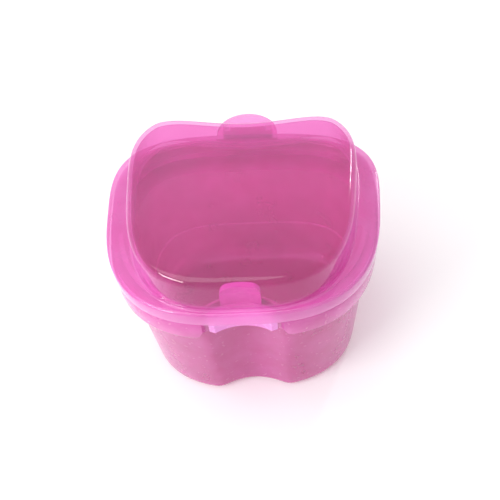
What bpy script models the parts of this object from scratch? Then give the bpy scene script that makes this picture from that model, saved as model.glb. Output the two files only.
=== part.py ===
"""Denture case: a moulded tub, a domed lid on a back hinge, the hinge pin and a press catch at the front.

Metres, +Z up, front at -Y. The origin is on the underside of the tub, below the widest line of the rim.
Every plan outline is a rounded, slightly tapering oval, and each moulding is lofted through such outlines.
"""

import math
from collections import namedtuple

import bmesh
import bpy
import numpy as np
from mathutils import Matrix

# Clearances, overruns and the distance at which points are joined
GAP = 0.0003
OVERRUN = 0.002
BURY = 0.0006
WELD = 0.00001

# Rim, as the outside of the lid's band
RIM_HALF_WIDTH = 0.045
RIM_FRONT = 0.0435
RIM_BACK = 0.0385
RIM_FRONT_POWER = 2.93
RIM_BACK_POWER = 3.17
RIM_TAPER_SHARE = 0.105

# Tub: its wall stands inside the rim by an inset at the mouth, and draws in by a draft down to the floor
TUB_HEIGHT = 0.0580
TUB_WALL = 0.0018
TUB_FLOOR = 0.0018
WALL_SIDE_INSET = 0.0030
WALL_FRONT_INSET = 0.0029
WALL_BACK_INSET = 0.0042
SIDE_DRAFT = 0.0037
FRONT_DRAFT = 0.0062
BACK_DRAFT = 0.0019
WALL_FRONT_POWER = 2.5
WALL_BACK_POWER = 3.7
BOTTOM_RADIUS = 0.0030
INNER_RADIUS = 0.0055
STEP_HEIGHT = 0.0195
STEP_WIDTH = 0.0005

# The collar round the mouth: a ledge, the skirt that hangs from it and the lip inside the lid's band
LEDGE_THICKNESS = 0.0016
SKIRT_HEIGHT = 0.0072
SKIRT_THICKNESS = 0.0016
SKIRT_INSET = 0.00035
LIP_CLEARANCE = 0.00045
LIP_THICKNESS = 0.0016
EDGE_RADIUS = 0.0004

# Upright groove down the front of the tub, and the scallop that carries it through the collar
GROOVE_HALF_WIDTH = 0.0120
GROOVE_TOP_DEPTH = 0.0066
GROOVE_FLOOR_DEPTH = 0.0042
SCALLOP_DEPTH = 0.0077
SCALLOP_RADIUS = 0.0158
SCALLOP_THICKNESS = 0.0012
SCALLOP_LEDGE = 0.0002

# Lid
LID_THICKNESS = 0.0012
BAND_THICKNESS = 0.0014
BAND_HEIGHT = 0.0050
BAND_RADIUS = 0.0009
DOME_HEIGHT = 0.0115
DOME_SIDE_INSET = 0.0078
DOME_FRONT_INSET = 0.0018
DOME_BACK_REACH = 0.0009
DOME_DRAFT = 0.0006
DOME_FRONT_POWER = 3.25
DOME_BACK_POWER = 3.3
DOME_TAPER_SHARE = 0.115
DOME_RADIUS = 0.0026
DISH_BASE_DEPTH = 0.0070
DISH_TOP_DEPTH = 0.0076
DISH_END = 0.0062
DISH_POWER = 1.25

# Arc ribs under the lid's flange, which keep it centred in the tub's lip
RIB_CLEARANCE = 0.0004
RIB_WIDTH = 0.0016
RIB_HEIGHT = 0.0017
RIB_FRONT_X = 0.0225
RIB_REACH_SHARE = 0.36

# Hinge
HINGE_BEHIND_RIM = 0.0040
HINGE_ABOVE_BAND = 0.0010
KNUCKLE_RADIUS = 0.0031
KNUCKLE_WIDTH = 0.0126
LUG_WIDTH = 0.0026
WEB_DEPTH = 0.0034
PIN_RADIUS = 0.0012
ARM_HEIGHT = 0.0060
TONGUE_RADIUS = 0.0110
TONGUE_BEHIND_RIM = 0.0108
TONGUE_ABOVE_FLANGE = 0.0010
TONGUE_THICKNESS = 0.0014
TONGUE_ROOT = 0.0040

# Press catch: a curved thumb plate, a foot over the lip and an upright stem inside the dome
CATCH_TRAVEL = 0.0014
CATCH_CLEARANCE = 0.0004
CATCH_END = 0.0003
CATCH_THICKNESS = 0.0020
CATCH_BEHIND_BAND = 0.0005
CATCH_ABOVE_SKIRT = 0.0018
HOLLOW_HALF_WIDTH = 0.0076
FOOT_HALF_WIDTH = 0.0054
FOOT_THICKNESS = 0.0008
NECK_THICKNESS = 0.0014
STEM_HALF_WIDTH = 0.0059
STEM_THICKNESS = 0.0018
STEM_SETBACK = 0.0010
STEM_HEIGHT = 0.0076
STEM_LEAN = 0.0004
STEM_CROWN = 0.0024

# Counts of points and steps
DENSE = 721
GROOVE_STEPS = 8
SIDE_STEPS = 34
FILLET_STEPS = 3
ARC_STEPS = 14
BARREL_SIDES = 28
PIN_SIDES = 20

# Heights and places that follow from the sizes above
LID_LOW = TUB_HEIGHT + GAP
LID_FLANGE = LID_LOW + LID_THICKNESS
BAND_BOTTOM = LID_FLANGE - BAND_HEIGHT
LEDGE = BAND_BOTTOM - GAP
SKIRT_BOTTOM = LEDGE - SKIRT_HEIGHT
LID_TOP = LID_FLANGE + DOME_HEIGHT
HINGE_Y = RIM_BACK + HINGE_BEHIND_RIM
HINGE_Z = BAND_BOTTOM + HINGE_ABOVE_BAND
SCALLOP_Y = SCALLOP_DEPTH - RIM_FRONT - SCALLOP_RADIUS
CATCH_Y = SCALLOP_Y - CATCH_TRAVEL - CATCH_CLEARANCE

Outline = namedtuple("Outline", "half_width front back front_power back_power taper")

RIM = Outline(RIM_HALF_WIDTH, RIM_FRONT, RIM_BACK, RIM_FRONT_POWER, RIM_BACK_POWER, RIM_TAPER_SHARE)
DOME = Outline(
    RIM_HALF_WIDTH - DOME_SIDE_INSET,
    RIM_FRONT - DOME_FRONT_INSET,
    RIM_BACK + DOME_BACK_REACH,
    DOME_FRONT_POWER,
    DOME_BACK_POWER,
    DOME_TAPER_SHARE,
)


def inset(outline, distance):
    """The outline drawn in by a distance."""
    return outline._replace(
        half_width=outline.half_width - distance,
        front=outline.front - distance,
        back=outline.back - distance,
    )


def wall(height, depth=0):
    """The outline of the tub's wall at a height, drawn in from its outside by a depth."""
    share = 1 - height / TUB_HEIGHT
    outside = Outline(
        RIM_HALF_WIDTH - WALL_SIDE_INSET - share * SIDE_DRAFT,
        RIM_FRONT - WALL_FRONT_INSET - share * FRONT_DRAFT,
        RIM_BACK - WALL_BACK_INSET - share * BACK_DRAFT,
        WALL_FRONT_POWER,
        WALL_BACK_POWER,
        0,
    )
    return inset(outside, depth)


def groove_depth(height):
    return GROOVE_FLOOR_DEPTH + height / TUB_HEIGHT * (GROOVE_TOP_DEPTH - GROOVE_FLOOR_DEPTH)


def dense_half(outline):
    """Closely spaced points of the right half, from the middle of the front round to the middle of the back."""
    turn = np.linspace(-math.pi / 2, math.pi / 2, DENSE)
    power = np.where(turn < 0, outline.front_power, outline.back_power)
    reach = np.where(turn < 0, outline.front, outline.back)
    y = reach * np.sign(turn) * np.abs(np.sin(turn)) ** (2 / power)
    x = outline.half_width * np.abs(np.cos(turn)) ** (2 / power)
    x = x * (1 + outline.taper * y / outline.half_width)
    x[0] = x[-1] = 0
    length = np.concatenate([[0], np.cumsum(np.hypot(np.diff(x), np.diff(y)))])
    return x, y, length


def half_points(outline):
    """The half's points: evenly spaced in x over the groove, then evenly along the outline to the back."""
    x, y, length = dense_half(outline)
    front = slice(0, DENSE // 3)
    groove_x = GROOVE_HALF_WIDTH * np.arange(GROOVE_STEPS + 1) / GROOVE_STEPS
    groove_y = np.interp(groove_x, x[front], y[front])
    start = np.interp(GROOVE_HALF_WIDTH, x[front], length[front])
    along = np.linspace(start, length[-1], SIDE_STEPS + 1)[1:]
    px = np.concatenate([groove_x, np.interp(along, length, x)])
    py = np.concatenate([groove_y, np.interp(along, length, y)])
    return px, py


def both_sides(x, y, height):
    """A closed ring, counter-clockwise from above, from the points of its right half."""
    right = list(zip(x, y))
    left = [(-px, py) for px, py in right[-2:0:-1]]
    return [(px, py, height) for px, py in right + left]


def tub_ring(outline, height):
    """A ring of the tub's wall, with the front groove pressed in."""
    x, y = half_points(outline)
    bulge = np.clip(1 - (x / GROOVE_HALF_WIDTH) ** 2, 0, None) * (y < 0)
    return both_sides(x, y + groove_depth(height) * bulge, height)


def collar_ring(outline, height, depth):
    """A ring of the collar, whose front follows the scallop at a depth behind its face.

    The face stops a step short of the groove's edge, which leaves the scallop's end walls their thickness.
    """
    x, y = half_points(outline)
    reach = GROOVE_HALF_WIDTH + (WELD if depth > SCALLOP_THICKNESS / 2 else -WELD)
    scalloped = (x < reach) & (y < 0)
    arc_y = SCALLOP_Y + np.sqrt(np.clip((SCALLOP_RADIUS + depth) ** 2 - x**2, 0, None))
    return both_sides(x, np.where(scalloped, np.maximum(y, arc_y), y), height)


def lid_ring(outline, height, dish=0):
    """A ring of the lid, whose back may be hollowed in plan."""
    x, y = half_points(outline)
    hollow = np.clip(1 - (x / (DOME.half_width - DISH_END)) ** 2, 0, None) ** DISH_POWER * (y > 0)
    return both_sides(x, y - dish * hollow, height)


def fillet(radius):
    """Pairs of distances from the side face and from the end face, round a quarter turn from end to side."""
    turns = [math.pi / 2 * i / FILLET_STEPS for i in range(FILLET_STEPS + 1)]
    return [(radius * (1 - math.sin(t)), radius * (1 - math.cos(t))) for t in turns]


def fillet_up(radius):
    """The same pairs from side to end."""
    return fillet(radius)[::-1]


def material(name, colour, roughness, metallic=0):
    made = bpy.data.materials.new(name)
    made.use_nodes = True
    shader = made.node_tree.nodes["Principled BSDF"]
    shader.inputs["Base Color"].default_value = (*colour, 1)
    shader.inputs["Roughness"].default_value = roughness
    shader.inputs["Metallic"].default_value = metallic
    return made


def new_object(name, mesh, collection):
    made = bpy.data.objects.new(name, mesh)
    collection.objects.link(made)
    return made


def lofted(name, rings, collection):
    """A closed solid through rings with the same number of points, capped at both ends."""
    bm = bmesh.new()
    rows = [[bm.verts.new(point) for point in points] for points in rings]
    count = len(rings[0])
    for low, high in zip(rows, rows[1:]):
        for i in range(count):
            j = (i + 1) % count
            bm.faces.new((low[i], low[j], high[j], high[i]))
    bm.faces.new(rows[0][::-1])
    bm.faces.new(rows[-1])
    mesh = bpy.data.meshes.new(name)
    bm.to_mesh(mesh)
    bm.free()
    return new_object(name, mesh, collection)


def plate(name, points, low, high, collection):
    """A flat outline in plan between two heights: a filled 2D curve, made a welded mesh."""
    curve = bpy.data.curves.new(name, "CURVE")
    curve.dimensions = "2D"
    curve.fill_mode = "BOTH"
    curve.extrude = (high - low) / 2
    spline = curve.splines.new("POLY")
    spline.points.add(len(points) - 1)
    for point, (x, y) in zip(spline.points, points):
        point.co = (x, y, 0, 1)
    spline.use_cyclic_u = True
    drawn = new_object(name + "_outline", curve, collection)
    drawn.location.z = (high + low) / 2
    bpy.context.view_layer.update()
    graph = bpy.context.evaluated_depsgraph_get()
    mesh = bpy.data.meshes.new_from_object(drawn.evaluated_get(graph))
    bm = bmesh.new()
    bm.from_mesh(mesh)
    bmesh.ops.remove_doubles(bm, verts=bm.verts, dist=WELD)
    bmesh.ops.recalc_face_normals(bm, faces=bm.faces)
    bm.to_mesh(mesh)
    bm.free()
    made = new_object(name, mesh, collection)
    made.matrix_world = drawn.matrix_world
    bpy.data.objects.remove(drawn)
    return made


def barrel(name, x_low, x_high, radius, sides, collection):
    """A round bar on the hinge's axis, along X."""
    bm = bmesh.new()
    bmesh.ops.create_cone(
        bm, cap_ends=True, segments=sides, radius1=radius, radius2=radius, depth=x_high - x_low
    )
    mesh = bpy.data.meshes.new(name)
    bm.to_mesh(mesh)
    bm.free()
    made = new_object(name, mesh, collection)
    made.rotation_euler.y = math.pi / 2
    made.location = ((x_low + x_high) / 2, HINGE_Y, HINGE_Z)
    return made


def side_slab(name, points, x_low, x_high, collection):
    """An outline in the YZ plane, drawn out along X."""
    rings = [[(x, y, z) for y, z in points] for x in (x_low, x_high)]
    return lofted(name, rings, collection)


def combine(target, other, operation):
    other.hide_render = True
    other.display_type = "WIRE"
    modifier = target.modifiers.new(other.name, "BOOLEAN")
    modifier.operation = operation
    modifier.object = other
    modifier.solver = "EXACT"


def carried_by(made, name, place):
    """Parents a moving piece to an empty on its joint, with the piece left where it is."""
    joint = new_object(name, None, made.users_collection[0])
    joint.location = place
    made.parent = joint
    made.matrix_parent_inverse = Matrix.Translation(place).inverted()


def arc(radius, centre_y, half_chord):
    """Points of a circle about (0, centre_y), from its right end at half_chord round the back to its left end."""
    start = math.acos(half_chord / radius)
    turns = np.linspace(start, math.pi - start, ARC_STEPS + 1)
    return [(radius * math.cos(t), centre_y + radius * math.sin(t)) for t in turns]


def build_tub(parts, cutters):
    """Floor, wall, skirt and lip in one loft, with the hinge arm and the knuckle joined to it."""
    lip = BAND_THICKNESS + LIP_CLEARANCE
    lip_inner = lip + LIP_THICKNESS
    skirt_inner = SKIRT_INSET + SKIRT_THICKNESS
    shoulder = LEDGE - LEDGE_THICKNESS
    inner = TUB_WALL + STEP_WIDTH
    rings = [tub_ring(wall(up, depth), up) for depth, up in fillet(BOTTOM_RADIUS)]
    rings += [
        tub_ring(wall(STEP_HEIGHT), STEP_HEIGHT),
        tub_ring(wall(shoulder), shoulder),
        collar_ring(inset(RIM, skirt_inner), shoulder, SCALLOP_THICKNESS),
        collar_ring(inset(RIM, skirt_inner), SKIRT_BOTTOM, SCALLOP_THICKNESS),
        collar_ring(inset(RIM, SKIRT_INSET + EDGE_RADIUS), SKIRT_BOTTOM, SCALLOP_LEDGE),
        collar_ring(inset(RIM, SKIRT_INSET), SKIRT_BOTTOM + EDGE_RADIUS, 0),
        collar_ring(inset(RIM, SKIRT_INSET), LEDGE - EDGE_RADIUS, 0),
        collar_ring(inset(RIM, SKIRT_INSET + EDGE_RADIUS), LEDGE, SCALLOP_LEDGE / 2),
        collar_ring(inset(RIM, lip), LEDGE, SCALLOP_LEDGE),
        collar_ring(inset(RIM, lip), TUB_HEIGHT - EDGE_RADIUS, SCALLOP_LEDGE),
        collar_ring(inset(RIM, lip + EDGE_RADIUS), TUB_HEIGHT, SCALLOP_LEDGE + EDGE_RADIUS),
        collar_ring(inset(RIM, lip_inner - EDGE_RADIUS), TUB_HEIGHT, SCALLOP_THICKNESS - EDGE_RADIUS),
        collar_ring(inset(RIM, lip_inner), TUB_HEIGHT - EDGE_RADIUS, SCALLOP_THICKNESS),
        collar_ring(inset(RIM, lip_inner), LEDGE, SCALLOP_THICKNESS),
        tub_ring(wall(LEDGE, TUB_WALL), LEDGE),
        tub_ring(wall(STEP_HEIGHT, TUB_WALL), STEP_HEIGHT),
        tub_ring(wall(STEP_HEIGHT, inner), STEP_HEIGHT - STEP_WIDTH),
    ]
    for depth, up in fillet_up(INNER_RADIUS):
        height = TUB_FLOOR + up
        rings.append(tub_ring(wall(height, inner + depth), height))
    tub = lofted("tub", rings, parts)

    root_y = RIM_BACK - SKIRT_INSET - BURY
    arm_top = LEDGE - EDGE_RADIUS
    slope = KNUCKLE_RADIUS * math.sqrt(2) / 2
    profile = [
        (root_y, arm_top - ARM_HEIGHT),
        (HINGE_Y + slope, HINGE_Z - slope),
        (HINGE_Y, arm_top),
        (root_y, arm_top),
    ]
    half = KNUCKLE_WIDTH / 2
    combine(tub, side_slab("arm", profile, -half, half, cutters), "UNION")
    combine(tub, barrel("knuckle", -half, half, KNUCKLE_RADIUS, BARREL_SIDES, cutters), "UNION")
    bore = barrel("knuckle_bore", -half - OVERRUN, half + OVERRUN, PIN_RADIUS + GAP, BARREL_SIDES, cutters)
    combine(tub, bore, "DIFFERENCE")
    return tub


def build_rib(name, side, cutters):
    """A low arc rib just inside the tub's lip, from beside the catch round the front corner to the side."""
    outer = BAND_THICKNESS + LIP_CLEARANCE + LIP_THICKNESS + RIB_CLEARANCE
    sides = []
    for depth in (outer, outer + RIB_WIDTH):
        x, y, length = dense_half(inset(RIM, depth))
        front = slice(0, DENSE // 3)
        start = np.interp(RIB_FRONT_X, x[front], length[front])
        at = np.linspace(start, start + RIB_REACH_SHARE * (length[-1] - start), ARC_STEPS + 1)
        sides.append([(side * px, py) for px, py in zip(np.interp(at, length, x), np.interp(at, length, y))])
    return plate(name, sides[0] + sides[1][::-1], LID_LOW - RIB_HEIGHT, LID_LOW + BURY, cutters)


def build_lid(parts, cutters):
    """Band, flange and dome in one loft, with the ribs, the hinge tongue and its two lugs joined to it."""
    inside = LID_THICKNESS + DOME_DRAFT
    ceiling = LID_TOP - LID_THICKNESS
    rings = []
    for depth, down in fillet(DOME_RADIUS - LID_THICKNESS):
        rings.append(lid_ring(inset(DOME, inside + depth), ceiling - down, DISH_TOP_DEPTH))
    rings += [
        lid_ring(inset(DOME, LID_THICKNESS), LID_LOW, DISH_BASE_DEPTH),
        lid_ring(inset(RIM, BAND_THICKNESS), LID_LOW),
        lid_ring(inset(RIM, BAND_THICKNESS), BAND_BOTTOM),
        lid_ring(inset(RIM, EDGE_RADIUS), BAND_BOTTOM),
        lid_ring(RIM, BAND_BOTTOM + EDGE_RADIUS),
    ]
    for depth, down in fillet_up(BAND_RADIUS):
        rings.append(lid_ring(inset(RIM, depth), LID_FLANGE - down))
    rings.append(lid_ring(DOME, LID_FLANGE, DISH_BASE_DEPTH))
    for depth, down in fillet_up(DOME_RADIUS):
        rings.append(lid_ring(inset(DOME, DOME_DRAFT + depth), LID_TOP - down, DISH_TOP_DEPTH))
    lid = lofted("lid", rings, parts)
    for side, name in ((-1, "rib_left"), (1, "rib_right")):
        combine(lid, build_rib(name, side, cutters), "UNION")

    centre_y = RIM_BACK + TONGUE_BEHIND_RIM - TONGUE_RADIUS
    tongue_low = LID_FLANGE + TONGUE_ABOVE_FLANGE - TONGUE_THICKNESS
    root_y = RIM_BACK - TONGUE_ROOT
    outline = arc(TONGUE_RADIUS, centre_y, TONGUE_RADIUS) + [(-TONGUE_RADIUS, root_y), (TONGUE_RADIUS, root_y)]
    tongue = plate("tongue", outline, tongue_low, tongue_low + TONGUE_THICKNESS, cutters)
    combine(lid, tongue, "UNION")
    front, back = HINGE_Y - WEB_DEPTH / 2, HINGE_Y + WEB_DEPTH / 2
    web_top = tongue_low + BURY
    profile = [(front, HINGE_Z), (back, HINGE_Z), (back, web_top), (front, web_top)]
    inner_x = KNUCKLE_WIDTH / 2 + GAP
    for side, name in ((-1, "left"), (1, "right")):
        low, high = sorted((side * inner_x, side * (inner_x + LUG_WIDTH)))
        combine(lid, side_slab("web_" + name, profile, low, high, cutters), "UNION")
        combine(lid, barrel("lug_" + name, low, high, KNUCKLE_RADIUS, BARREL_SIDES, cutters), "UNION")
    reach = inner_x + LUG_WIDTH + OVERRUN
    bore = barrel("lug_bore", -reach, reach, PIN_RADIUS + GAP, BARREL_SIDES, cutters)
    combine(lid, bore, "DIFFERENCE")
    carried_by(lid, "lid_hinge", (0, HINGE_Y, HINGE_Z))
    return lid


def build_hinge_pin(parts):
    reach = KNUCKLE_WIDTH / 2 + GAP + LUG_WIDTH
    return barrel("hinge_pin", -reach, reach, PIN_RADIUS, PIN_SIDES, parts)


def build_front_catch(parts, cutters):
    """The curved thumb plate in the scallop, the foot that rides over the lip and the stem inside the lid."""
    front_y = BAND_THICKNESS + CATCH_BEHIND_BAND - RIM_FRONT
    back_y = CATCH_Y + SCALLOP_RADIUS
    hollow_y = back_y - CATCH_THICKNESS
    sagitta = hollow_y - front_y
    hollow_radius = (HOLLOW_HALF_WIDTH**2 + sagitta**2) / (2 * sagitta)
    hollow = arc(hollow_radius, hollow_y - hollow_radius, HOLLOW_HALF_WIDTH)
    half_width = math.sqrt(SCALLOP_RADIUS**2 - (front_y - CATCH_Y) ** 2) - CATCH_END
    outline = arc(SCALLOP_RADIUS, CATCH_Y, half_width)
    outline += [(-half_width, front_y)] + hollow[::-1] + [(half_width, front_y)]
    catch = plate("front_catch", outline, SKIRT_BOTTOM + CATCH_ABOVE_SKIRT, TUB_HEIGHT, parts)

    foot_low = TUB_HEIGHT + GAP
    foot_front, foot_back = back_y - CATCH_THICKNESS / 2, SCALLOP_Y + SCALLOP_RADIUS + SCALLOP_THICKNESS
    corners = [(-1, foot_front), (1, foot_front), (1, foot_back), (-1, foot_back)]
    outline = [(side * FOOT_HALF_WIDTH, y) for side, y in corners]
    foot = plate("foot", outline, foot_low, foot_low + FOOT_THICKNESS, cutters)

    neck_back = SCALLOP_RADIUS - GAP
    neck_half = (STEM_HALF_WIDTH + FOOT_HALF_WIDTH) / 2
    outline = arc(neck_back, CATCH_Y, neck_half) + arc(neck_back - NECK_THICKNESS, CATCH_Y, neck_half)[::-1]
    neck = plate("neck", outline, TUB_HEIGHT - BURY, foot_low + FOOT_THICKNESS / 2, cutters)

    stem_back = SCALLOP_RADIUS + STEM_SETBACK
    stem_front = stem_back - STEM_THICKNESS
    levels = [(0, STEM_HEIGHT - GAP - FOOT_THICKNESS / 4)] + fillet_up(STEM_CROWN)
    rings = []
    for depth, down in levels:
        half = STEM_HALF_WIDTH - depth
        centre_y = CATCH_Y + STEM_LEAN * (1 - down / STEM_HEIGHT)
        points = arc(stem_back, centre_y, half) + arc(stem_front, centre_y, half)[::-1]
        rings.append([(x, y, TUB_HEIGHT + STEM_HEIGHT - down) for x, y in points])
    stem = lofted("stem", rings, cutters)
    for piece in (neck, foot, stem):
        combine(catch, piece, "UNION")
    carried_by(catch, "catch_slide", (0, back_y, TUB_HEIGHT))
    return catch


for old in list(bpy.data.objects):
    bpy.data.objects.remove(old)
parts = bpy.data.collections.new("denture_case")
cutters = bpy.data.collections.new("cutters")
for made in (parts, cutters):
    bpy.context.scene.collection.children.link(made)

finishes = {
    build_tub(parts, cutters): material("tub_polypropylene", (0.80, 0.14, 0.55), 0.28),
    build_lid(parts, cutters): material("lid_polystyrene", (0.85, 0.30, 0.65), 0.12),
    build_hinge_pin(parts): material("pin_polypropylene", (0.75, 0.12, 0.50), 0.35),
    build_front_catch(parts, cutters): material("catch_polypropylene", (0.90, 0.18, 0.62), 0.30),
}
for piece, finish in finishes.items():
    piece.data.materials.append(finish)
    piece.data.shade_smooth()
    piece.data.set_sharp_from_angle(angle=math.radians(35))
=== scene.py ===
import math
from collections import namedtuple

import bmesh
import bpy
import numpy as np
from mathutils import Matrix, Vector


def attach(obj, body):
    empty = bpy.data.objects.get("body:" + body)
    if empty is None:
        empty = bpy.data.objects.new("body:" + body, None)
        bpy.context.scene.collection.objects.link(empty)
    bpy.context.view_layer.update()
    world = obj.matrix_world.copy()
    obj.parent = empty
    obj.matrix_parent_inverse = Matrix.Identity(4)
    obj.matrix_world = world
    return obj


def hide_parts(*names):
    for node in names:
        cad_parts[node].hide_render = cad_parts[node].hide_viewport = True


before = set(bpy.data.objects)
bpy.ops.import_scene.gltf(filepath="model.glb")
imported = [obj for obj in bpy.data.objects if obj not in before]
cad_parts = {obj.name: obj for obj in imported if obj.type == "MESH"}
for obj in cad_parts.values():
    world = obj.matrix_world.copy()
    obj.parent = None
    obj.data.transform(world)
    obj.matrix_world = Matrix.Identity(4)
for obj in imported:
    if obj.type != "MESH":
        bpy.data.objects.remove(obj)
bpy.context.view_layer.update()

scene = bpy.context.scene


# Camera: it looks down on the case from in front and a little to the right, as a person does who
# is about to open it. The small shift is what the framing of the case in the picture needs.
camera = bpy.data.objects.new("camera", bpy.data.cameras.new("camera"))
scene.collection.objects.link(camera)
scene.camera = camera
camera.data.sensor_width = 36
camera.data.lens = 45.36
camera.data.shift_x = -0.12
camera.data.shift_y = -0.02
camera.data.clip_start = 0.01
CAMERA_PLACE = (0.0159, -0.1478, 0.2067)
CAMERA_RIGHT = Vector((0.9991, -0.0431, -0.0045)).normalized()
CAMERA_UP = Vector((0.0351, 0.7431, 0.6683))
camera_back = CAMERA_RIGHT.cross(CAMERA_UP).normalized()
camera_turn = Matrix((CAMERA_RIGHT, camera_back.cross(CAMERA_RIGHT), camera_back)).transposed()
camera.matrix_world = Matrix.Translation(CAMERA_PLACE) @ camera_turn.to_4x4()


# Table top: a wide, smooth, white-painted board that the case stands on.
# Satin emulsion paint: nearly even, with the faint clouding that a roller leaves.
FLOOR_HALF = 3.0
FLOOR_DROP = 0.0002  # keeps the board's face a hair below the case's underside
FLOOR_LIFT = 0.10
ROLLER_CLOUD = 0.09


def linear(hex_colour):
    """An sRGB hex colour as linear red, green, blue and 1."""
    parts = [int(hex_colour[i:i + 2], 16) / 255 for i in (1, 3, 5)]
    return (*[c / 12.92 if c <= 0.04045 else ((c + 0.055) / 1.055) ** 2.4 for c in parts], 1)


def add(tree, kind, sockets=None, **settings):
    """A node with its settings, its named sockets set to values or linked to other nodes' outputs."""
    node = tree.nodes.new("ShaderNode" + kind)
    for name, value in settings.items():
        setattr(node, name, value)
    for name, value in (sockets or {}).items():
        if isinstance(value, bpy.types.NodeSocket):
            tree.links.new(value, node.inputs[name])
        else:
            node.inputs[name].default_value = value
    return node


def blank_material(name):
    """A new material with only an output node, and its tree and output."""
    made = bpy.data.materials.new(name)
    made.use_nodes = True
    tree = made.node_tree
    tree.nodes.clear()
    return made, tree, add(tree, "OutputMaterial")


def looked_at(tree):
    """1 where a thing is seen, also in a reflection or through plastic, and 0 where it only gives light."""
    path = add(tree, "LightPath").outputs
    seen = add(tree, "Math", {0: path["Is Camera Ray"], 1: path["Is Glossy Ray"]})
    return add(
        tree, "Math", {0: seen.outputs[0], 1: path["Is Transmission Ray"]}, use_clamp=True,
    ).outputs[0]


floor_bm = bmesh.new()
bmesh.ops.create_grid(floor_bm, x_segments=1, y_segments=1, size=FLOOR_HALF)
bmesh.ops.translate(floor_bm, verts=floor_bm.verts, vec=(0, 0, -FLOOR_DROP))
floor_mesh = bpy.data.meshes.new("table_top")
floor_bm.to_mesh(floor_mesh)
floor_bm.free()
floor = bpy.data.objects.new("table_top", floor_mesh)
scene.collection.objects.link(floor)

paint, tree, output = blank_material("white_satin_emulsion")
place = add(tree, "TexCoord")
cloud = add(tree, "TexNoise", {"Vector": place.outputs["Object"], "Scale": 1 / ROLLER_CLOUD})
tone = add(tree, "ValToRGB", {"Fac": cloud.outputs["Fac"]})
tone.color_ramp.elements[0].color = linear("#F3F2F3")
tone.color_ramp.elements[1].color = linear("#F9F9F9")
board = add(tree, "BsdfPrincipled", {"Base Color": tone.outputs["Color"], "Roughness": 0.6})
lift = add(tree, "Emission", {"Color": linear("#FFFFFF"), "Strength": FLOOR_LIFT})
lifted = add(tree, "AddShader", {0: board.outputs[0], 1: lift.outputs[0]})
painted = add(tree, "MixShader", {0: looked_at(tree), 1: board.outputs[0], 2: lifted.outputs[0]})
tree.links.new(painted.outputs[0], output.inputs["Surface"])
floor.data.materials.append(paint)


# Studio light: a white room, one wide soft panel above and two small panels, at the left and behind.
# The small ones give the short, sharp white glints that polished mouldings have on their edges.
ROOM_LIGHT = 0.68
AIMED_AT = Vector((0, 0, 0.05))
Panel = namedtuple("Panel", "name place width height watts")
PANELS = (
    Panel("wide_panel", (-0.25, -0.10, 0.85), 0.70, 0.70, 2.6),
    Panel("left_panel", (-0.44, -0.32, 0.42), 0.34, 0.09, 1.9),
    Panel("back_panel", (0.30, 0.50, 0.46), 0.03, 0.12, 0.5),
)
for panel in PANELS:
    lamp = bpy.data.lights.new(panel.name, "AREA")
    lamp.shape = "RECTANGLE"
    lamp.size = panel.width
    lamp.size_y = panel.height
    lamp.energy = panel.watts
    holder = bpy.data.objects.new(panel.name, lamp)
    scene.collection.objects.link(holder)
    turned = (AIMED_AT - Vector(panel.place)).to_track_quat("-Z", "Y").to_matrix().to_4x4()
    holder.matrix_world = Matrix.Translation(panel.place) @ turned

room = bpy.data.worlds.new("white_room")
scene.world = room
room.use_nodes = True
room.node_tree.nodes.clear()
glow = add(room.node_tree, "Background", {"Color": linear("#FFFFFF"), "Strength": ROOM_LIGHT})
white = add(room.node_tree, "Background", {"Color": linear("#FFFFFF"), "Strength": 1.0})
sky = add(room.node_tree, "MixShader", {
    0: looked_at(room.node_tree), 1: glow.outputs[0], 2: white.outputs[0],
})
add(room.node_tree, "OutputWorld", {"Surface": sky.outputs[0]})
scene.view_settings.view_transform = "Standard"


# Tub: the lower moulding, with its floor, wall, ledge, hanging skirt and lip in one shot of plastic.
# Pink translucent polypropylene, moulded in a polished tool: cloudy, glossy, deeper where seen edge-on.
Outline = namedtuple("Outline", "half_width front back front_power back_power taper")
RIM = Outline(0.0450, 0.0435, 0.0385, 2.93, 3.17, 0.105)
WALL = Outline(0.0420, 0.0406, 0.0343, 2.5, 3.7, 0)
SIDE_DRAFT = 0.0037
FRONT_DRAFT = 0.0062
BACK_DRAFT = 0.0019
BAND = 0.0014
EDGE_RADIUS = 0.0004
TUB_HEIGHT = 0.0580
TUB_WALL = 0.0018
TUB_FLOOR = 0.0018
LEDGE = 0.0542
SHOULDER = 0.0526
SKIRT_BOTTOM = 0.0470
SKIRT_OUTSIDE = 0.00035
SKIRT_INSIDE = 0.00195
LIP_OUTSIDE = 0.00185
LIP_INSIDE = 0.00345
LIP_STEP = 0.0002
FOOT_RADIUS = 0.0030
WALL_START = 0.006
FLOOR_FILLET = 0.0055
STEP_HEIGHT = 0.0195
STEP_WIDTH = 0.0005
GROOVE_HALF_WIDTH = 0.0120
GROOVE_SOFTNESS = 0.12
GROOVE_DEPTH_LOW = 0.0042
GROOVE_GAIN = 0.0024
SKIRT_CORNER = 0.0030
SCALLOP_Y = -0.0516
SCALLOP_RADIUS = 0.0158
SCALLOP_THICKNESS = 0.0012
OUTLINE_POINTS = 2881
GROOVE_COLUMNS = 24
SIDE_COLUMNS = 104
HAIR = 0.00001  # keeps the column at the groove's edge on the rim outside, and on the scallop inside
HINGE = Vector((0, 0.0425, 0.0555))
KNUCKLE_RADIUS = 0.0031
KNUCKLE_HALF = 0.0063
PIN_RADIUS = 0.0012
BORE_RADIUS = 0.0015
TUB_BORE_HALF = 0.0083
ARM_PROFILE = ((0.0375, 0.0478), (0.0447, 0.0533), (0.0425, 0.0538), (0.0375, 0.0538))
FLOW_CLOUD = 0.011
ORANGE_PEEL = 0.0016
PEEL_HEIGHT = 0.00005
EDGE_ON_POWER = 3.0
MIRROR_FACE_ON = 0.055
MIRROR_EDGE_ON = 0.45


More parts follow.
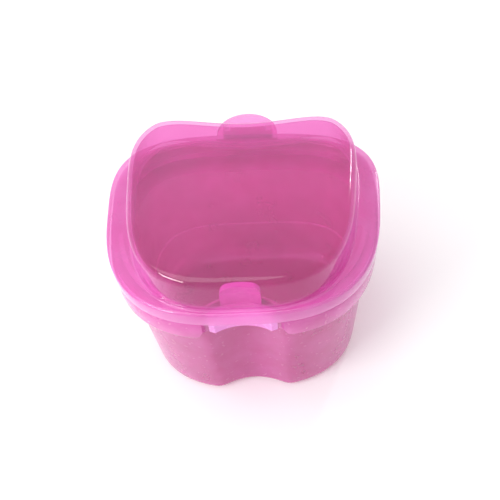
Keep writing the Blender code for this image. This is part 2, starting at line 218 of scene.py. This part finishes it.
def inset(outline, distance):
    """The outline drawn in by a distance."""
    return outline._replace(
        half_width=outline.half_width - distance,
        front=outline.front - distance,
        back=outline.back - distance,
    )


def half_outline(outline):
    """The right half of an outline: closely spaced over the groove, then evenly along it to the back."""
    turn = np.linspace(-math.pi / 2, math.pi / 2, OUTLINE_POINTS)
    power = np.where(turn < 0, outline.front_power, outline.back_power)
    reach = np.where(turn < 0, outline.front, outline.back)
    y = reach * np.sign(turn) * np.abs(np.sin(turn)) ** (2 / power)
    x = outline.half_width * np.abs(np.cos(turn)) ** (2 / power)
    x = x * (1 + outline.taper * y / outline.half_width)
    x[0] = x[-1] = 0
    length = np.concatenate([[0], np.cumsum(np.hypot(np.diff(x), np.diff(y)))])
    front = slice(0, OUTLINE_POINTS // 3)
    groove_x = GROOVE_HALF_WIDTH * np.arange(GROOVE_COLUMNS + 1) / GROOVE_COLUMNS
    start = np.interp(GROOVE_HALF_WIDTH, x[front], length[front])
    along = np.linspace(start, length[-1], SIDE_COLUMNS + 1)[1:]
    px = np.concatenate([groove_x, np.interp(along, length, x)])
    py = np.concatenate([np.interp(groove_x, x[front], y[front]), np.interp(along, length, y)])
    return px, py


def round_both(x, y, z):
    """The whole ring, counter-clockwise from above, from its right half."""
    z = np.broadcast_to(z, x.shape)
    right = list(zip(x, y, z))
    return right + [(-px, py, pz) for px, py, pz in right[-2:0:-1]]


def wall_ring(height, depth=0):
    """A ring of the tub's wall, at a height and a depth in from its outside, with the groove pressed in."""
    share = 1 - height / TUB_HEIGHT
    outside = WALL._replace(
        half_width=WALL.half_width - SIDE_DRAFT * share,
        front=WALL.front - FRONT_DRAFT * share,
        back=WALL.back - BACK_DRAFT * share,
    )
    x, y = half_outline(inset(outside, depth))
    groove_depth = GROOVE_DEPTH_LOW + (1 - share) * GROOVE_GAIN
    bulge = GROOVE_SOFTNESS * np.logaddexp(0, (1 - (x / GROOVE_HALF_WIDTH) ** 2) / GROOVE_SOFTNESS)
    return round_both(x, y + groove_depth * bulge * (y < 0), height)


def collar_ring(drawn_in, height, depth, corner=0):
    """A ring of the collar, whose front follows the scallop at a depth behind its face.

    With a corner radius, the ring rises to the scallop's edges, which rounds the skirt's lower corners.
    """
    x, y = half_outline(inset(RIM, drawn_in))
    scallop_y = SCALLOP_Y + np.sqrt(np.clip((SCALLOP_RADIUS + depth) ** 2 - x**2, 0, None))
    reach = GROOVE_HALF_WIDTH + (HAIR if depth > SCALLOP_THICKNESS / 2 else -HAIR)
    past = np.where(x > GROOVE_HALF_WIDTH, x - GROOVE_HALF_WIDTH, 2 * (GROOVE_HALF_WIDTH - x))
    rise = corner - np.sqrt(corner**2 - np.clip(corner - past, 0, None) ** 2)
    followed = np.where((x < reach) & (y < 0), np.maximum(y, scallop_y), y)
    return round_both(x, followed, height + rise * (y < 0))


def quarter(radius, steps=6):
    """Distances from the side face and from the end face, round a quarter turn from end to side."""
    turns = np.linspace(0, math.pi / 2, steps + 1)
    return [(radius * (1 - math.sin(t)), radius * (1 - math.cos(t))) for t in turns]


def drawn_up(name, rings):
    """A closed moulding: a circle laid on the first ring, drawn out ring by ring, and closed at both ends.

    Its parts are put in order at the end, so that each run gives the same mesh.
    """
    bm = bmesh.new()
    place = bm.verts.layers.int.new("place")
    around = len(rings[0])
    circle = bmesh.ops.create_circle(bm, segments=around, radius=1)["verts"]
    circle.sort(key=lambda vert: vert.index)
    for index, vert in enumerate(circle):
        vert[place] = index
        vert.co = rings[0][index]
    first = edges = list(bm.edges)
    for ring in rings[1:]:
        grown = bmesh.ops.extrude_edge_only(bm, edges=edges)["geom"]
        fresh = {item for item in grown if isinstance(item, bmesh.types.BMVert)}
        for vert in fresh:
            vert[place] += around
            vert.co = ring[vert[place] % around]
        edges = [
            item for item in grown
            if isinstance(item, bmesh.types.BMEdge) and item.verts[0] in fresh and item.verts[1] in fresh
        ]
    bmesh.ops.edgeloop_fill(bm, edges=first)
    bmesh.ops.edgeloop_fill(bm, edges=edges)
    bmesh.ops.recalc_face_normals(bm, faces=bm.faces)

    def rank(item):
        places = [vert[place] for vert in item.verts]
        return min(places) * len(bm.verts) + max(places)

    bm.verts.sort(key=lambda vert: vert[place])
    bm.edges.sort(key=rank)
    bm.faces.sort(key=rank)
    mesh = bpy.data.meshes.new(name)
    bm.to_mesh(mesh)
    bm.free()
    made = bpy.data.objects.new(name, mesh)
    scene.collection.objects.link(made)
    return made


def weld_on(piece, other, operation="UNION"):
    """Moulds a second shape into a piece, or cuts it out, and clears it away."""
    step = piece.modifiers.new("weld", "BOOLEAN")
    step.object = other
    step.operation = operation
    step.solver = "EXACT"
    bpy.context.view_layer.update()
    settled = piece.evaluated_get(bpy.context.evaluated_depsgraph_get())
    welded = bpy.data.meshes.new_from_object(settled)
    piece.modifiers.clear()
    piece.data = welded
    bpy.data.objects.remove(other)


def round_bar(name, x_low, x_high, radius, edge=0.0003, sides=64):
    """A round bar on the hinge's axis, with rounded ends."""
    turns = [2 * math.pi * i / sides for i in range(sides)]
    levels = [(radius - into, x_low + along) for into, along in quarter(edge, 4)]
    levels += [(radius - into, x_high - along) for into, along in quarter(edge, 4)[::-1]]
    rings = [
        [(x, HINGE.y + r * math.cos(t), HINGE.z + r * math.sin(t)) for t in turns]
        for r, x in levels
    ]
    return drawn_up(name, rings)


def polish(piece, angle=35):
    """Shades a moulding smooth, with its true corners kept sharp."""
    piece.data.shade_smooth()
    piece.data.set_sharp_from_angle(angle=math.radians(angle))


def clear_moulding(name, deep, light, tint, opacity, edge_opacity, roughness, thick=None):
    """Translucent plastic: a tinted clear part, and a milky part that takes over where seen edge-on.

    The milky part runs from a deep to a light pink in soft flow clouds 11 mm across, with a fine orange
    peel 1.6 mm across under the polished skin. thick gives two heights, between which the plastic gets
    denser, and by how much.
    """
    made, tree, output = blank_material(name)
    place = add(tree, "TexCoord").outputs["Object"]
    clouds = add(tree, "TexNoise", {
        "Vector": place, "Scale": 1 / FLOW_CLOUD, "Detail": 3.0, "Roughness": 0.55,
    })
    colour = add(tree, "ValToRGB", {"Fac": clouds.outputs["Fac"]})
    colour.color_ramp.elements[0].position = 0.3
    colour.color_ramp.elements[0].color = linear(deep)
    colour.color_ramp.elements[1].position = 0.72
    colour.color_ramp.elements[1].color = linear(light)
    peel = add(tree, "TexNoise", {"Vector": place, "Scale": 1 / ORANGE_PEEL, "Detail": 1.0})
    gloss = add(tree, "MapRange", {
        "Value": peel.outputs["Fac"], "From Min": 0.3, "From Max": 0.7,
        "To Min": roughness * 0.8, "To Max": roughness * 1.25,
    })
    ripple = add(tree, "Bump", {"Height": peel.outputs["Fac"], "Strength": 0.05, "Distance": PEEL_HEIGHT})
    body = add(tree, "BsdfPrincipled", {
        "Base Color": colour.outputs["Color"], "Roughness": gloss.outputs["Result"],
        "Normal": ripple.outputs["Normal"], "IOR": 1.49,
    })
    clear = add(tree, "BsdfTransparent", {"Color": linear(tint)})
    facing = add(tree, "LayerWeight", {"Blend": 0.5})
    slant = add(tree, "Math", {0: facing.outputs["Facing"], 1: EDGE_ON_POWER}, operation="POWER").outputs[0]
    density = add(
        tree, "MapRange", {"Value": slant, "To Min": opacity, "To Max": edge_opacity},
    ).outputs["Result"]
    if thick:
        low, high, more = thick
        up = add(tree, "SeparateXYZ", {"Vector": place}).outputs["Z"]
        extra = add(tree, "MapRange", {
            "Value": up, "From Min": low, "From Max": high, "To Min": 0.0, "To Max": more,
        })
        density = add(tree, "Math", {0: density, 1: extra.outputs["Result"]}).outputs[0]
    mixed = add(tree, "MixShader", {0: density, 1: clear.outputs[0], 2: body.outputs[0]})
    skin = add(tree, "BsdfGlossy", {"Roughness": 0.06})
    mirror = add(
        tree, "MapRange", {"Value": slant, "To Min": MIRROR_FACE_ON, "To Max": MIRROR_EDGE_ON},
    ).outputs["Result"]
    inner = add(tree, "NewGeometry").outputs["Backfacing"]
    outer = add(tree, "Math", {0: 1.0, 1: inner}, operation="SUBTRACT")
    share = add(tree, "Math", {0: mirror, 1: outer.outputs[0]}, operation="MULTIPLY").outputs[0]
    polished = add(tree, "MixShader", {0: share, 1: mixed.outputs[0], 2: skin.outputs[0]})
    tree.links.new(polished.outputs[0], output.inputs["Surface"])
    return made


edge = quarter(EDGE_RADIUS, 3)
rings = [wall_ring(up, depth) for depth, up in quarter(FOOT_RADIUS, 8)]
rings += [wall_ring(height) for height in np.linspace(WALL_START, SHOULDER, 12)]
rings += [
    collar_ring(SKIRT_INSIDE, SHOULDER, SCALLOP_THICKNESS),
    collar_ring(SKIRT_INSIDE, SKIRT_BOTTOM, SCALLOP_THICKNESS, SKIRT_CORNER),
]
rings += [
    collar_ring(SKIRT_OUTSIDE + depth, SKIRT_BOTTOM + up, depth / 2, SKIRT_CORNER) for depth, up in edge
]
rings += [collar_ring(SKIRT_OUTSIDE + depth, LEDGE - down, depth / 4) for depth, down in edge[::-1]]
rings += [collar_ring(LIP_OUTSIDE, LEDGE, LIP_STEP)]
rings += [
    collar_ring(LIP_OUTSIDE + depth, TUB_HEIGHT - down, LIP_STEP + depth) for depth, down in edge[::-1]
]
rings += [
    collar_ring(LIP_INSIDE - depth, TUB_HEIGHT - down, SCALLOP_THICKNESS - depth) for depth, down in edge
]
rings += [collar_ring(LIP_INSIDE, LEDGE, SCALLOP_THICKNESS)]
rings += [wall_ring(height, TUB_WALL) for height in np.linspace(LEDGE, STEP_HEIGHT, 10)]
rings += [wall_ring(STEP_HEIGHT - STEP_WIDTH, TUB_WALL + STEP_WIDTH)]
for depth, up in quarter(FLOOR_FILLET, 10)[::-1]:
    rings.append(wall_ring(TUB_FLOOR + up, TUB_WALL + STEP_WIDTH + depth))
tub = drawn_up("tub_moulding", rings)

arm = drawn_up("hinge_arm", [[(x, y, z) for y, z in ARM_PROFILE] for x in (-KNUCKLE_HALF, KNUCKLE_HALF)])
weld_on(tub, arm)
weld_on(tub, round_bar("knuckle", -KNUCKLE_HALF, KNUCKLE_HALF, KNUCKLE_RADIUS))
weld_on(tub, round_bar("knuckle_bore", -TUB_BORE_HALF, TUB_BORE_HALF, BORE_RADIUS), "DIFFERENCE")
polish(tub)
tub.data.materials.clear()
tub.data.materials.append(clear_moulding(
    "tub_moulded_polypropylene", deep="#D844A8", light="#EE62C6", tint="#EDA8CF",
    opacity=0.38, edge_opacity=0.94, roughness=0.22, thick=(0.0462, 0.0476, 0.30),
))
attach(tub, "tub")
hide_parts("tub")


# Lid: the upper moulding, with its band, flange and domed top with a hollowed back, in one shot of plastic.
# Clear pale pink polystyrene, moulded in a mirror-finished tool: glassy, with white glints on its edges.
DOME = Outline(0.0372, 0.0417, 0.0394, 3.25, 3.3, 0.115)
LID_THICKNESS = 0.0012
LID_LOW = 0.0583
LID_FLANGE = 0.0595
BAND_BOTTOM = 0.0545
LID_TOP = 0.0710
DOME_RADIUS = 0.0026
DOME_DRAFT = 0.0006
ROOT_RADIUS = 0.0007
FLANGE_RADIUS = 0.0009
DISH_HALF_WIDTH = 0.0310
DISH_BASE = 0.0070
DISH_TOP = 0.0076
DISH_POWER = 1.25
LUG_INSIDE = 0.0066
LUG_OUTSIDE = 0.0092
LUG_BORE_HALF = 0.0112
WEB_PROFILE = ((0.0408, 0.0555), (0.0442, 0.0555), (0.0442, 0.0597), (0.0408, 0.0597))
TONGUE_RADIUS = 0.0110
TONGUE_Y = 0.0383
TONGUE_ROOT_Y = 0.0345
TONGUE_LEVELS = (  # how far the rounded edge draws in, and at what height
    (0.0004, 0.0591), (0.0001, 0.0592), (0, 0.0595), (0, 0.0602), (0.0001, 0.0604), (0.0004, 0.0605),
)


def lid_ring(outline, height, dish=0):
    """A ring of the lid, whose back may be hollowed in plan."""
    x, y = half_outline(outline)
    hollow = np.clip(1 - (x / DISH_HALF_WIDTH) ** 2, 0, None) ** DISH_POWER * (y > 0)
    return round_both(x, y - dish * hollow, height)


ceiling = LID_TOP - LID_THICKNESS
rings = []
for depth, down in quarter(DOME_RADIUS - LID_THICKNESS, 6):
    rings.append(lid_ring(inset(DOME, LID_THICKNESS + DOME_DRAFT + depth), ceiling - down, DISH_TOP))
rings += [
    lid_ring(inset(DOME, LID_THICKNESS), LID_LOW, DISH_BASE),
    lid_ring(inset(RIM, BAND), LID_LOW),
]
rings += [lid_ring(inset(RIM, BAND - depth), BAND_BOTTOM + up) for depth, up in edge[::-1]]
rings += [lid_ring(inset(RIM, depth), BAND_BOTTOM + up) for depth, up in edge]
rings += [lid_ring(inset(RIM, depth), LID_FLANGE - down) for depth, down in quarter(FLANGE_RADIUS, 6)[::-1]]
for out, up in quarter(ROOT_RADIUS, 6):
    rooted = DOME._replace(
        half_width=DOME.half_width + out,
        front=DOME.front + out,
        back=DOME.back + out / 4,
    )
    rings.append(lid_ring(rooted, LID_FLANGE + up, DISH_BASE))
for depth, down in quarter(DOME_RADIUS, 10)[::-1]:
    rings.append(lid_ring(inset(DOME, DOME_DRAFT + depth), LID_TOP - down, DISH_TOP))
lid = drawn_up("lid_moulding", rings)
tongue_turns = np.linspace(0, math.pi, 41)
tongue_rings = []
for depth, z in TONGUE_LEVELS:
    radius = TONGUE_RADIUS - depth
    half_disc = [(radius * math.cos(t), TONGUE_Y + radius * math.sin(t), z) for t in tongue_turns]
    tongue_rings.append(half_disc + [(-radius, TONGUE_ROOT_Y, z), (radius, TONGUE_ROOT_Y, z)])
weld_on(lid, drawn_up("tongue", tongue_rings))
for side, name in ((-1, "left"), (1, "right")):
    low, high = sorted((side * LUG_INSIDE, side * LUG_OUTSIDE))
    weld_on(lid, drawn_up("web_" + name, [[(x, y, z) for y, z in WEB_PROFILE] for x in (low, high)]))
    weld_on(lid, round_bar("lug_" + name, low, high, KNUCKLE_RADIUS))
weld_on(lid, round_bar("lug_bore", -LUG_BORE_HALF, LUG_BORE_HALF, BORE_RADIUS), "DIFFERENCE")
polish(lid)
lid.data.materials.clear()
lid.data.materials.append(clear_moulding(
    "lid_moulded_polystyrene", deep="#FC80DC", light="#FF98EA", tint="#FBD4F0",
    opacity=0.05, edge_opacity=0.92, roughness=0.10, thick=(0.0612, 0.0592, 0.30),
))
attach(lid, "lid")
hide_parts("lid")


# Locating ribs: two low arcs on the lid's underside, which run just inside the tub's lip and centre the lid.
# The lid's own clear pink polystyrene, a solid bar of it, so that it looks denser and paler than the dome.
RIB_INSET = 0.00465
RIB_HALF_THICKNESS = 0.0008
RIB_BOTTOM = 0.0566
RIB_TOP = 0.0589
RIB_START_X = 0.0225
RIB_END_Y = -0.0095


def rib(name, side):
    """One rib, from beside the catch round the front corner to the side."""
    x, y = half_outline(inset(RIM, RIB_INSET))
    run = [(px, py) for px, py in zip(x, y) if px > RIB_START_X and py < RIB_END_Y]
    corners = [(-1, RIB_BOTTOM), (1, RIB_BOTTOM), (1, RIB_TOP), (-1, RIB_TOP)]
    rings = []
    for index, (px, py) in enumerate(run):
        before, after = run[max(index - 1, 0)], run[min(index + 1, len(run) - 1)]
        along = Vector((after[0] - before[0], after[1] - before[1])).normalized()
        out_x, out_y = RIB_HALF_THICKNESS * along.y, -RIB_HALF_THICKNESS * along.x
        rings.append([(side * (px + k * out_x), py + k * out_y, z) for k, z in corners])
    return drawn_up(name, rings)


rib_plastic = clear_moulding(
    "rib_moulded_polystyrene", deep="#FF86E0", light="#FFA0EC", tint="#FCDDF2",
    opacity=0.42, edge_opacity=0.95, roughness=0.12,
)
for side, name in ((-1, "rib_left"), (1, "rib_right")):
    locating_rib = rib(name, side)
    polish(locating_rib)
    locating_rib.data.materials.append(rib_plastic)
    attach(locating_rib, "lid")


# Hinge pin: the plain pin through the lid's lugs and the tub's knuckle, pushed in from one side.
# Pink moulded polypropylene, denser than the tub because it is thick for its size.
pin = round_bar("hinge_pin_moulding", -LUG_OUTSIDE, LUG_OUTSIDE, PIN_RADIUS, edge=0.0002, sides=40)
polish(pin)
pin.data.materials.append(clear_moulding(
    "pin_moulded_polypropylene", deep="#D84CA2", light="#EE6CBC", tint="#E890C4",
    opacity=0.55, edge_opacity=0.92, roughness=0.28,
))
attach(pin, "tub")
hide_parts("hinge_pin")


# Front catch: the half-moon thumb plate in the scallop, with the springy upright tongue inside the lid.
# Denser pink polypropylene, moulded thicker than the walls so that it bends and doesn't crack.
CATCH_Y = -0.0534
PLATE_BOTTOM = 0.0488
NECK_BOTTOM = 0.0574
NECK_TOP = 0.0587
STEM_BOTTOM = 0.0585
STEM_TOP = 0.0656
STEM_CROWN = 0.0024
STEM_HALF = 0.0059
STEM_LEANS = ((0.0605, 0.0001), (0.0632, 0.0003))  # at what height, and how far back from upright
CROWN_LEAN = 0.0004
FOOT_CORNERS = ((-0.0054, -0.0386), (0.0054, -0.0386), (0.0054, -0.0346), (-0.0054, -0.0346))
FOOT_LEVELS = (0.0583, 0.0591)
BAR_COLUMNS = 25


def curved_bar(name, half_back, half_front, radius_back, radius_front, front_y, levels):
    """A bar that is curved in plan, drawn up through levels of height, side scale and lean."""
    rings = []
    for z, scale, lean in levels:
        back_x = np.linspace(half_back, -half_back, BAR_COLUMNS) * scale
        front_x = np.linspace(-half_front, half_front, BAR_COLUMNS) * scale
        back = CATCH_Y + np.sqrt(radius_back**2 - back_x**2)
        front = front_y - radius_front + np.sqrt(radius_front**2 - front_x**2)
        xs, ys = np.concatenate([back_x, front_x]), np.concatenate([back, front])
        rings.append([(x, y + lean, z) for x, y in zip(xs, ys)])
    return drawn_up(name, rings)


catch = curved_bar(
    "catch_moulding", half_back=0.0102, half_front=0.0084, radius_back=SCALLOP_RADIUS, radius_front=0.0158,
    front_y=-0.0396, levels=[(PLATE_BOTTOM, 1, 0), (TUB_HEIGHT, 1, 0)],
)
weld_on(catch, curved_bar(
    "neck", half_back=0.00565, half_front=0.00565, radius_back=0.0155, radius_front=0.0141,
    front_y=-0.0393, levels=[(NECK_BOTTOM, 1, 0), (NECK_TOP, 1, 0)],
))
stem_levels = [(STEM_BOTTOM, 1, 0)] + [(z, 1, lean) for z, lean in STEM_LEANS]
for depth, down in quarter(STEM_CROWN, 8)[::-1]:
    stem_levels.append((STEM_TOP - down, 1 - depth / STEM_HALF, CROWN_LEAN))
weld_on(catch, curved_bar(
    "stem", half_back=STEM_HALF, half_front=STEM_HALF, radius_back=0.0168, radius_front=0.0150,
    front_y=-0.0384, levels=stem_levels,
))
weld_on(catch, drawn_up("foot", [[(x, y, z) for x, y in FOOT_CORNERS] for z in FOOT_LEVELS]))
soften = catch.modifiers.new("soften", "BEVEL")
soften.width = 0.0003
soften.segments = 3
soften.limit_method = "ANGLE"
soften.angle_limit = math.radians(50)
polish(catch)
catch.data.materials.append(clear_moulding(
    "catch_moulded_polypropylene", deep="#FC84E6", light="#FF98F2", tint="#F4A6E0",
    opacity=0.82, edge_opacity=0.97, roughness=0.24,
))
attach(catch, "catch")
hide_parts("front_catch")
